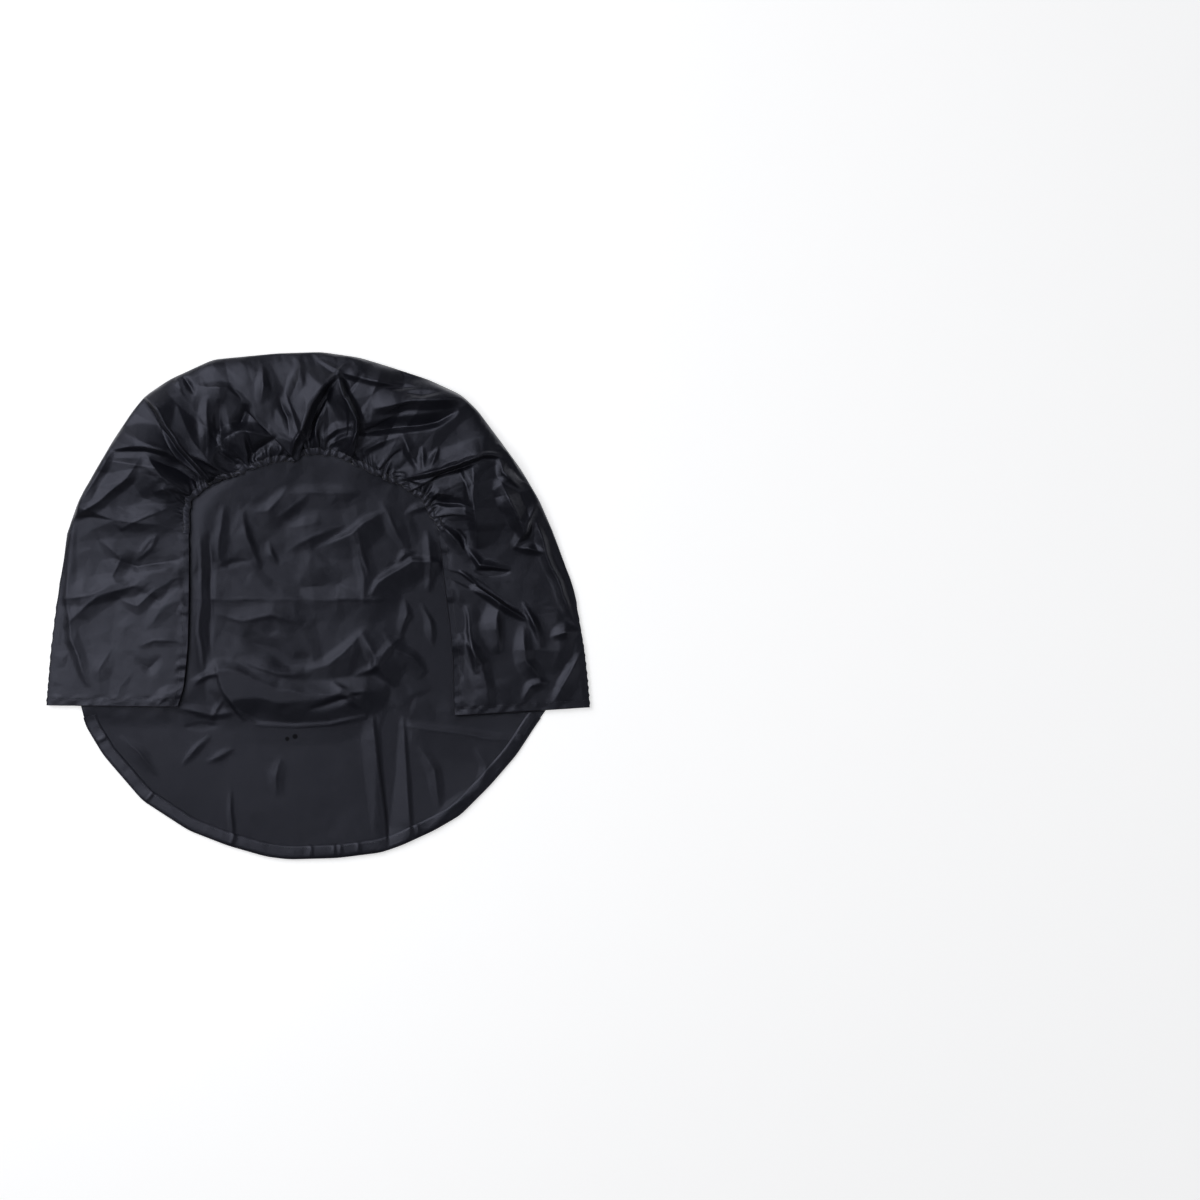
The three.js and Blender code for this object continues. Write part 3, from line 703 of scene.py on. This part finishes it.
def material(name, colour, roughness, sheen=0.0, weave=None, crinkle=0.0, slub=0.0, marks=(),
             gloss=0.6):
    """A cloth material. weave is the threads' pitch in metres along the piece's UV map, crinkle
    the depth of its small creases, slub how much its colour varies, and marks are its dark specks
    as (x, y, size)."""
    m = bpy.data.materials.new(name)
    m.use_nodes = True
    tree = m.node_tree
    place = tree.nodes.new("ShaderNodeTexCoord").outputs
    blotches = add_node(tree, "TexNoise", {"Scale": 14, "Detail": 6, "Vector": place["Object"]})
    blotches = blotches.outputs["Fac"]
    ramp = add_node(tree, "ValToRGB", {"Fac": blotches})
    for stop, at, level in zip(ramp.color_ramp.elements, (0.3, 0.7), (1 - slub, 1 + slub)):
        stop.position = at
        stop.color = (*(c * level for c in colour), 1)
    tint = ramp.outputs["Color"]
    rough = add_node(tree, "MapRange", {"To Min": roughness - 0.06, "To Max": roughness + 0.07,
                                        "Value": blotches})
    dull = rough.outputs["Result"]
    for x, y, size in marks:
        far = add_node(tree, "VectorMath", {0: place["Object"], 1: (x, y, 0.004)},
                       operation="DISTANCE")
        speck = add_node(tree, "MapRange", {"From Min": size * 0.7, "From Max": size * 1.2,
                                            "Value": far.outputs["Value"]})
        share = speck.outputs["Result"]
        tint = add_node(tree, "Mix", {"A": (0.001, 0.001, 0.001, 1), "Factor": share, "B": tint},
                        data_type="RGBA").outputs["Result"]
        dull = add_node(tree, "Mix", {"A": 1, "Factor": share, "B": dull}).outputs["Result"]
    normal = None
    for scale, share in ((38, 1.0), (120, 0.35)) if crinkle else ():
        creases = add_node(tree, "TexNoise", {"Scale": scale, "Detail": 3,
                                              "Vector": place["Object"]},
                           noise_type="RIDGED_MULTIFRACTAL")
        normal = bump(tree, creases.outputs["Fac"], crinkle * share, normal)
    for u, v in ((1, 0), (0, 1)) if weave else ():
        turn = add_node(tree, "Mapping", {"Scale": (u, v, 0), "Vector": place["UV"]})
        threads = add_node(tree, "TexWave", {
            "Scale": 0.314 / weave, "Distortion": 0.6, "Detail Scale": 4,
            "Vector": turn.outputs["Vector"],
        }, bands_direction="X" if u else "Y")
        normal = bump(tree, threads.outputs["Fac"], weave * 0.05, normal)
    fill(tree, tree.nodes["Principled BSDF"], {
        "Specular IOR Level": gloss, "Specular Tint": (0.80, 0.82, 1, 1), "Sheen Weight": sheen,
        "Sheen Roughness": 0.45, "Base Color": tint, "Roughness": dull,
        **({} if normal is None else {"Normal": normal}),
    })
    return m


TAFFETA_COLOUR = (0.0047, 0.0050, 0.0084)
# Two small spots on the face, coloured near black and made fully rough.
DARK_SPECKS = [(-0.045, -0.195, 0.0036), (-0.0335, -0.1915, 0.0042)]
taffeta = material("taffeta_cloth", TAFFETA_COLOUR, 0.38, sheen=0.03, weave=0.0006,
                   crinkle=0.00014, slub=0.12)
face_taffeta = material("taffeta_face", TAFFETA_COLOUR, 0.38, sheen=0.03, weave=0.0006,
                        crinkle=0.00014, slub=0.14, marks=DARK_SPECKS, gloss=0.5)
# Painted light: the hems are the band's taffeta in a lighter colour, so that they read a little
# brighter.
hem_cloth = material("hem_taffeta_painted_light", (0.0068, 0.0071, 0.0112), 0.36, sheen=0.04, weave=0.0006,
                     crinkle=0.00014, slub=0.18)
# Painted highlight: the casing is the same taffeta painted over three times lighter, so that its
# ruffled edge reads as lit.
casing_painted_highlight = material("casing_taffeta_painted_highlight", (0.017, 0.0175, 0.025), 0.42, sheen=0.25, weave=0.0006,
                        crinkle=0.0003, slub=0.25)
thread_cloth = material("sewing_thread", (0.020, 0.021, 0.027), 0.55, sheen=0.25, slub=0.2)
elastic_rubber = material("elastic_webbing", (0.016, 0.016, 0.019), 0.62, sheen=0.15,
                          weave=0.0011, slub=0.15)


# ---- Mesh building ----
CLOTH = 0.45  # mm, how thick a layer of cloth is


def piece(name, points, faces, look, uv=None, thickness=None):
    """A smooth-shaded mesh; thickness in mm makes a sheet solid."""
    mesh = bpy.data.meshes.new(name)
    mesh.from_pydata(np.asarray(points).reshape(-1, 3).tolist(), [], faces)
    mesh.materials.append(look)
    mesh.polygons.foreach_set("use_smooth", [True] * len(mesh.polygons))
    layer = mesh.uv_layers.new(name="cloth")
    corner = np.empty(len(mesh.loops), np.int32)
    mesh.loops.foreach_get("vertex_index", corner)
    flat = np.asarray(points).reshape(-1, 3)[:, :2] if uv is None else np.asarray(uv).reshape(-1, 2)
    layer.data.foreach_set("uv", flat[corner].astype(np.float32).reshape(-1))
    mesh.update()
    if thickness:
        loops = np.empty(len(mesh.loops), np.int32)
        mesh.loops.foreach_get("edge_index", loops)
        mesh.edges.foreach_set("use_edge_sharp", np.bincount(loops, minlength=len(mesh.edges)) == 1)
    made = bpy.data.objects.new(name, mesh)
    bpy.context.scene.collection.objects.link(made)
    if thickness:
        solid = made.modifiers.new("thickness", "SOLIDIFY")
        solid.thickness = thickness * MM
        solid.offset = 0
    return made


def grid_faces(rows, cols, wrap=False):
    """Quads of a grid of points stored row by row; wrap joins the last column to the first."""
    a = np.arange(rows * cols).reshape(rows, cols)
    b = np.roll(a, -1, axis=1) if wrap else a[:, 1:]
    a = a if wrap else a[:, :-1]
    return np.stack([a[:-1], b[:-1], b[1:], a[1:]], axis=-1).reshape(-1, 4).tolist()


def sheet_uv(grid):
    """Lengths along the cloth, for its weave."""
    u = np.cumsum(np.pad(np.linalg.norm(np.diff(grid, axis=0), axis=2).mean(1), (1, 0)))
    v = np.cumsum(np.pad(np.linalg.norm(np.diff(grid, axis=1), axis=2).mean(0), (1, 0)))
    return np.stack(np.meshgrid(u, v, indexing="ij"), axis=-1)


def sheet_piece(name, grid, look, thickness=CLOTH):
    return piece(name, grid, grid_faces(*grid.shape[:2]), look, sheet_uv(grid), thickness)


def grid_normals(grid):
    along = np.gradient(grid, axis=0)
    across = np.gradient(grid, axis=1)
    n = np.cross(along, across)
    return n / (np.linalg.norm(n, axis=2, keepdims=True) + 1e-12)


def resampled(grid, rows):
    """A grid's columns read at rows[k], row numbers with fractions, for each column k."""
    low = np.clip(np.floor(rows).astype(int), 0, grid.shape[1] - 2)
    part = (rows - low)[..., None]
    k = np.arange(len(grid))[:, None]
    return grid[k, low] * (1 - part) + grid[k, low + 1] * part


def stitches(name, line, normals, look, pitch=3.4, length=2.3, width=0.55, height=0.45, sink=0.1):
    """Short raised stitches along a line of points of a surface with the given normals."""
    both = spaced(np.concatenate([line, normals], axis=1), 4000)
    total = np.linalg.norm(np.diff(both[:, :3], axis=0), axis=1).sum()
    count = int(total / (pitch * MM))
    points, faces = [], []
    at = np.linspace(0, 1, 4000)
    ring = [(-0.5, 0), (-0.3, 0.8), (0.3, 0.8), (0.5, 0)]
    for k in range(count):
        base = len(points)
        for r, size in ((-0.5, 0.4), (-0.25, 1), (0.25, 1), (0.5, 0.4)):
            t = (k + 0.5) / count + r * length * MM / total
            p = np.array([np.interp(t, at, both[:, c]) for c in range(6)])
            q = np.array([np.interp(t + 0.2 * MM / total, at, both[:, c]) for c in range(3)])
            ahead = q - p[:3] + 1e-9
            ahead /= np.linalg.norm(ahead)
            n = p[3:] / np.linalg.norm(p[3:])
            side = np.cross(n, ahead)
            for x, z in ring:
                up = n * (z * size * height - sink) * MM
                points.append(p[:3] + side * x * width * size * MM + up)
        for r in range(3):
            for c in range(4):
                a, b = base + r * 4 + c, base + r * 4 + (c + 1) % 4
                faces.append((a, b, b + 4, a + 4))
        faces.append((base + 3, base + 2, base + 1, base))
        faces.append((base + 12, base + 13, base + 14, base + 15))
    return piece(name, points, faces, look)


# ---- The cloth pieces ----
# The y in mm from which cloth starts to bend out of the root into a moving body, and where it ends.
BENDS = {"apron": (-160, -176), "left_flap": (75, 0), "right_flap": (75, 0)}


def attach(made, body, slot, *nodes):
    """Parents a piece to its body's empty, or for a body in BENDS only bakes its transform, and hides
    the CAD nodes it stands for. slot is not used.
    """
    if body in BENDS:
        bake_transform(made)
    else:
        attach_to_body(made, body)
    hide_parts(*nodes)


face_grid = settle_face()
band_grid = settle_band()
face = sheet_piece("face_cloth", face_grid, face_taffeta)
attach(face, "apron", "taffeta", "face_panel", "face_panel_lower")

OVERLAP = 8  # mm of the band's wall that its top hangs over
WALL_REACH = 6  # mm that the wall runs on under the top, past the fold
SEAM_REACH = 3  # mm that it runs on over the face, past the seam
WALL_ROWS = 18
TOP_ROWS = 112
band_depth = np.linalg.norm(np.diff(band_grid, axis=1), axis=2).sum(1)
wall_depth = finer((np.linalg.norm(outer - seam, axis=1) + 5 * MM)[:, None, None])[:, 0, 0]
fold_row = wall_depth / band_depth * 2 * ROWS
band_normals = grid_normals(band_grid)
band_normals *= np.sign(band_normals[FINE_CROWN, ROWS, 2].mean())
wall_end = fold_row * (1 + WALL_REACH * MM / wall_depth)
wall_rows = np.linspace(0, 1, WALL_ROWS + 1)[None, :] * wall_end[:, None]
wall_grid = resampled(band_grid, wall_rows)
to_fold = (fold_row[:, None] - wall_rows) / fold_row[:, None] * wall_depth[:, None] / MM
tuck_in = 0.75 * (1 - smooth(OVERLAP, OVERLAP + 3, to_fold)) * MM
tuck_in *= smooth(0, 3, wall_depth[:, None] / MM - to_fold)
wall_grid -= resampled(band_normals, wall_rows) * tuck_in[..., None]
# At the seam the wall runs on inwards a little, on top of the face.
inward = wall_grid[:, :1] - wall_grid[:, 2:3]
inward[..., 2] = 0
inward /= np.linalg.norm(inward, axis=2, keepdims=True)
seam_edge = wall_grid[:, :1] + inward * SEAM_REACH * MM + (0, 0, 0.6 * MM)
wall_grid = np.concatenate([seam_edge, wall_grid], axis=1)
top_start = fold_row * (1 - np.minimum(OVERLAP * MM / wall_depth, 0.8))
top_rows = np.linspace(0, 1, TOP_ROWS + 1)[None, :] * (2 * ROWS - top_start)[:, None]
top_rows = top_start[:, None] + top_rows
top_grid = resampled(band_grid, top_rows)
# The top is split at the middle of the crown, because a piece bends between two bodies only.
SPLIT = 2 * int(np.argmin(np.abs(outer[:, 0] - 12 * MM) + (outer[:, 1] < 0)))

wall = sheet_piece("band_wall", wall_grid, taffeta)
attach(wall, "root", "taffeta", "left_band_wall", "right_band_wall")
tops = {"left": sheet_piece("band_top_left", top_grid[:SPLIT + 1], taffeta),
        "right": sheet_piece("band_top_right", top_grid[SPLIT:], taffeta)}
attach(tops["left"], "left_flap", "taffeta", "left_flap_panel", "crown_band")
attach(tops["right"], "right_flap", "taffeta", "right_flap_panel")

# ---- Hems, casing, elastic and stitching ----
HEM = {"lower": 18, "side": 10, "bottom": 12, "allowance": 10}  # mm
CASING_WIDTH = 9
ELASTIC_WIDTH = 5
TACK_ROWS = 7


def strip(name, lines, look, thickness=CLOTH, wrap=False):
    """A strip of cloth with the given lines of points along it."""
    grid = np.stack(lines, axis=1)
    faces = grid_faces(*grid.shape[:2], wrap)
    if wrap:
        last = (len(grid) - 1) * len(lines)
        faces += [list(range(len(lines)))[::-1], [last + k for k in range(len(lines))]]
    return piece(name, grid, faces, look, sheet_uv(grid), None if wrap else thickness)


def edge_lines(grid, normals, depths):
    """Points and normals at depths in mm from a grid's last column of points, along its rows."""
    steps = np.linalg.norm(np.diff(grid[:, ::-1], axis=1), axis=2)
    along = np.concatenate([np.zeros((len(grid), 1)), np.cumsum(steps, axis=1)], axis=1)
    found = []
    for depth in depths:
        rows = np.array([np.interp(depth * MM, a, np.arange(len(a))) for a in along])
        rows = (grid.shape[1] - 1 - rows)[:, None]
        n = resampled(normals, rows)[:, 0]
        found.append((resampled(grid, rows)[:, 0], n / np.linalg.norm(n, axis=1, keepdims=True)))
    return found


def together(made):
    """Joins pieces into the first of them."""
    with bpy.context.temp_override(active_object=made[0], selected_editable_objects=made):
        bpy.ops.object.join()
    return made[0]


def outward(edge, inside):
    """Directions from the points inside to those on the edge."""
    d = edge - inside
    return d / (np.linalg.norm(d, axis=1, keepdims=True) + 1e-9)


def turned_under(name, grid, normals, width, look):
    """The hem turned under a sheet's last column of points."""
    (p, n), (q, m), (r, o) = edge_lines(grid, normals, (0, width / 2, width))
    out = outward(p, q)
    return strip(name, [
        p + (out * 0.3 + n * 0.35) * MM, p + (out * 0.8 - n * 0.35) * MM,
        p + (out * 0.2 - n * 1.05) * MM, q - m * 1.2 * MM, r - o * 0.75 * MM,
    ], look)


normals = grid_normals(top_grid)
normals *= np.sign(normals[FINE_CROWN, 30, 2].mean())
arch_grid, arch_normals = top_grid[FINE_CROWN], normals[FINE_CROWN]
(p0, n0), (p1, n1), (p2, n2) = edge_lines(arch_grid, arch_normals,
                                          (0, CASING_WIDTH / 2, CASING_WIDTH))
out = outward(p0, p1)
casing = strip("elastic_casing_cloth", [
    p2 + n2 * 0.45 * MM, (p2 + p1) / 2 + n1 * 0.95 * MM, p1 + n1 * 1.15 * MM, p0 + n0 * 0.9 * MM,
    p0 + (out * 0.9 + n0 * 0.2) * MM, p0 + (out * 0.5 - n0 * 0.9) * MM, p1 - n1 * 1.6 * MM,
    (p2 + p1) / 2 - n1 * 1.4 * MM, p2 - n2 * 0.6 * MM,
], casing_painted_highlight, wrap=True)
attach(casing, "root", "hem_cloth", "elastic_casing")

(q0, m0), (q1, m1) = edge_lines(arch_grid, arch_normals, (2, 2 + ELASTIC_WIDTH))
elastic = strip("elastic_strip", [q0 - m0 * 0.3 * MM, q1 - m1 * 0.35 * MM, q1 - m1 * 0.95 * MM,
                                  q0 - m0 * 0.8 * MM], elastic_rubber, wrap=True)
attach(elastic, "root", "elastic", "elastic_band")

casing_stitches = stitches("casing_stitching", p2, n2, thread_cloth, sink=-0.55)
attach(casing_stitches, "root", "stitching_thread", "casing_thread")

# The elastic's two ends, each held by a block of close stitches across the casing.
tacks = []
for side, first in (("left", 6), ("right", -22)):
    block = []
    for k in range(TACK_ROWS):
        a = first + 2 * k
        b = a + (2 if k % 2 else 0)
        line = np.stack([p2[a] + n2[a] * 0.7 * MM, p1[a] + n1[a] * 1.2 * MM, p0[b] + n0[b] * MM])
        line[:, :2] += (out[a, [1, 0]] * (1, -1))[None] * (k - 3) * 0.1 * MM
        block.append(stitches(f"{side}_elastic_stitches", line, np.stack([n2[a], n1[a], n0[b]]),
                              thread_cloth, pitch=2.6, length=2.9, width=0.6))
    tacks.append(together(block))
    attach(tacks[-1], "root", "stitching_thread", f"{side}_elastic_tack")

# What is sewn to each half of the band's top.
band_parts = {"left": [casing, elastic, casing_stitches, *tacks], "right": []}
flap_columns = {"left": slice(0, 2 * LEFT_COLUMNS - 12), "right": slice(12 - 2 * RIGHT_COLUMNS, None)}
for side, part in flap_columns.items():
    flap, up = top_grid[part], normals[part]
    order = slice(None, None, -1 if side == "left" else 1)
    end, end_up = np.swapaxes(flap[order], 0, 1), np.swapaxes(up[order], 0, 1)
    for name, grid, grid_up in (("side", flap, up), ("bottom", end, end_up)):
        hem = turned_under(f"{side}_{name}_hem_cloth", grid, grid_up, HEM[name], hem_cloth)
        line, line_up = edge_lines(grid, grid_up, (HEM[name] - 2,))[0]
        thread = stitches(f"{side}_{name}_hem_stitching", line, line_up, thread_cloth, sink=-0.15)
        attach(hem, f"{side}_flap", "hem_cloth", f"{side}_flap_{name}_hem")
        attach(thread, f"{side}_flap", "stitching_thread", f"{side}_{name}_hem_thread")
        band_parts[side] += [hem, thread]

# Strips that lie on the face read its height straight above them.
face_tree = BVHTree.FromPolygons(face_grid.reshape(-1, 3).tolist(),
                                 grid_faces(*face_grid.shape[:2]))


def on_face(line, inset):
    """Points of the face under a line moved towards the middle of the face by inset mm."""
    ahead = np.gradient(line[:, :2], axis=0)
    ahead /= np.linalg.norm(ahead, axis=1, keepdims=True)
    inward = np.stack([-ahead[:, 1], ahead[:, 0]], axis=1)
    inward *= np.sign((inward * -line[:, :2]).sum(1).mean())
    points = line[:, :2] + inward * inset * MM
    found = np.empty((len(line), 3))
    up = np.empty((len(line), 3))
    for k, (x, y) in enumerate(points):
        hit, n = face_tree.ray_cast((x, y, 1), (0, 0, -1))[:2]
        found[k] = (x, y, FACE_EDGE) if hit is None else hit
        up[k] = (0, 0, 1) if n is None else n
    return found, up * np.sign(up[:, 2:])


def sewn_through(name, line, inset, front_inset, height):
    """Stitches on both sides of the face along a line, the inner ones at a height in mm above it."""
    inner, up = on_face(line, inset)
    front, front_up = on_face(line, front_inset)
    return together([stitches(name, inner + up * height * MM, up, thread_cloth, sink=0),
                     stitches(name, front, -front_up, thread_cloth, sink=-0.15)])


# Where the lower hem is folded over itself a little.
TUCKS = [(-324, -200), (303, -196), (-252, -288), (-168, -340), (-128, -352), (-82, -357),
         (-10, -369), (24, -369), (34, -368), (60, -364), (150, -336), (232, -284)]
TUCK_WIDTH = 3.2
hem_line = spaced(lower_rim[8:-8], 520)
tuck = np.zeros(len(hem_line))
for x, y in TUCKS:
    far = np.hypot(hem_line[:, 0] - x * MM, hem_line[:, 1] - y * MM) / (TUCK_WIDTH * MM)
    tuck += np.exp(-far * far)
wobble = grain((len(hem_line), 2), (90, 1), 17)[:, 0]
rise = (tuck * 1.1 + 0.25 * wobble + 0.25)[:, None]
lines = []
for inset, height in ((-0.6, -0.2), (-0.9, 0.3), (0.3, 0.95), (5, 0.9), (10, 0.85), (15, 0.8),
                      (HEM["lower"], 0.75), (HEM["lower"] + 0.6, 0.15)):
    p, up = on_face(hem_line, max(inset, 0.8))
    drop = (hem_line[:, :2] - on_face(hem_line, 5)[0][:, :2]) / (5 * MM)
    p[:, :2] += drop * (max(inset, 0.8) - inset) * MM
    share = smooth(0, 4, inset) * (1 - smooth(16, 18.4, inset) * 0.6)
    p += up * (height + rise * share) * MM
    lines.append(p)
lower_hem = strip("lower_hem_cloth", lines, hem_cloth, thickness=0.4)
attach(lower_hem, "apron", "hem_cloth", "lower_rim_hem")
hem_thread = sewn_through("lower_hem_stitching", hem_line, HEM["lower"] - 3, HEM["lower"] - 3,
                          0.95 + rise * 0.8)
attach(hem_thread, "apron", "stitching_thread", "lower_hem_thread")

seam_line = spaced(seam, 700)[6:-6]
lines = [on_face(seam_line, inset)[0] for inset in (1, 5, HEM["allowance"])]
for line, height in zip(lines, (0.55, 0.75, 0.6)):
    line[:, 2] += height * MM
allowance = strip("seam_allowance", lines, hem_cloth, thickness=0.5)
attach(allowance, "root", "hem_cloth", "rim_seam_allowance")
rim_thread = sewn_through("rim_stitching", seam_line, 5, 13, 1.05)
attach(rim_thread, "root", "stitching_thread", "rim_seam_thread")

# ---- Floor, camera and lights ----
floor = piece("floor", [(-6, -6, 0), (6, -6, 0), (6, 6, 0), (-6, 6, 0)], [(0, 1, 2, 3)],
              material("floor_paper", (0.86, 0.86, 0.86), 0.8, slub=0.004))
floor.location.z = -0.0005
floor_shader = floor.data.materials[0].node_tree.nodes["Principled BSDF"]
floor_shader.inputs["Emission Color"].default_value = (1, 1, 1, 1)
floor_shader.inputs["Emission Strength"].default_value = 0.62
floor_shader.inputs["Specular IOR Level"].default_value = 0

CAMERA_X, CAMERA_Y, CAMERA_HEIGHT = 0.412, 0.008, 9.743
camera = bpy.data.objects.new("camera", bpy.data.cameras.new("camera"))
camera.data.lens = 200
camera.data.sensor_width = 36
camera.data.clip_end = 100
camera.location = (CAMERA_X, CAMERA_Y, CAMERA_HEIGHT)
bpy.context.scene.collection.objects.link(camera)
bpy.context.scene.camera = camera

LIGHT_COLOUR = (0.96, 0.97, 1.0)


def area_light(name, place, aim, size, power):
    data = bpy.data.lights.new(name, "AREA")
    data.shape = "RECTANGLE"
    data.size, data.size_y = size
    data.energy = power
    data.color = LIGHT_COLOUR
    lamp = bpy.data.objects.new(name, data)
    lamp.location = place
    lamp.rotation_mode = "QUATERNION"
    lamp.rotation_quaternion = (Vector(aim) - Vector(place)).to_track_quat("-Z", "Y")
    lamp.visible_camera = False
    bpy.context.scene.collection.objects.link(lamp)


area_light("key_light", (-1.6, 1.42, 2.5), (-0.3, 0.26, 0), (2.7, 2.7), 61)
area_light("fill_light", (2.4, -0.9, 2.2), (0.2, 0, 0), (1.4, 1.4), 7)
area_light("low_light", (-0.5, -0.15, 1.2), (-0.5, -0.15, 0), (0.5, 0.5), 1.7)
world = bpy.data.worlds.new("studio")
world.use_nodes = True
world.node_tree.nodes["Background"].inputs["Color"].default_value = (0.97, 0.98, 1, 1)
world.node_tree.nodes["Background"].inputs["Strength"].default_value = 0.055
bpy.context.scene.world = world
bpy.context.scene.view_settings.view_transform = "Standard"
bpy.context.scene.view_settings.exposure = 0
